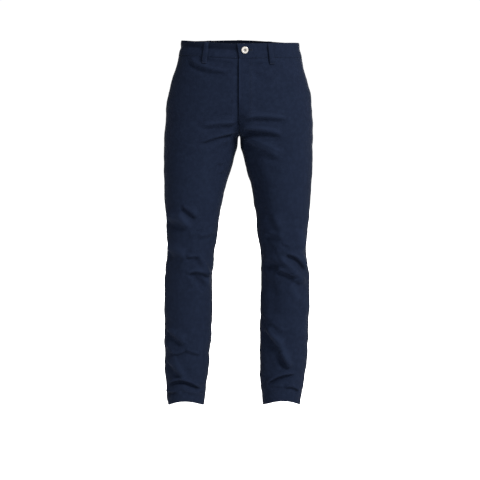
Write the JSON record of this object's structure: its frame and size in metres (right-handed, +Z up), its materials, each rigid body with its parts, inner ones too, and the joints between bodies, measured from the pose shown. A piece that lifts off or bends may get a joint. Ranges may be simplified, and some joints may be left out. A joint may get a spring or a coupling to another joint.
{
  "type": "worn chino trousers",
  "caption": "Slim tapered chino trousers in worn form: hollow cloth walls with a buttoned waistband, fly, slanted front pockets, belt loops and open hems.",
  "frame": {"origin": "centre of the waist opening at the height of the button, where the wearer's waist holds the garment up", "axes": "+Z up, the front faces -Y, the wearer's left leg is on +X"},
  "size_m": [0.42, 0.2491, 1.0505],
  "materials": {
    "twill": "matt navy cotton twill",
    "pocketing": "navy twill facing with a plain pocket bag",
    "zip_tape": "dark navy woven tape",
    "zip_metal": "satin",
    "button": "pearly, with a dull dished middle"
  },
  "bodies": {
    "root": {"front_left": "twill", "front_right": "twill", "back_left": "twill", "back_right": "twill", "waistband_left": "twill", "waistband_right": "twill", "pocket_left": "pocketing", "pocket_right": "pocketing", "back_welt_left": "twill", "back_welt_right": "twill", "loop_front_left": "twill", "loop_front_right": "twill", "loop_side_left": "twill", "loop_side_right": "twill", "loop_back_left": "twill", "loop_back_right": "twill", "loop_centre_back": "twill", "waist_button": "button", "zip_tape": "zip_tape", "zip_slider": "zip_metal"}
  },
  "joints": []
}
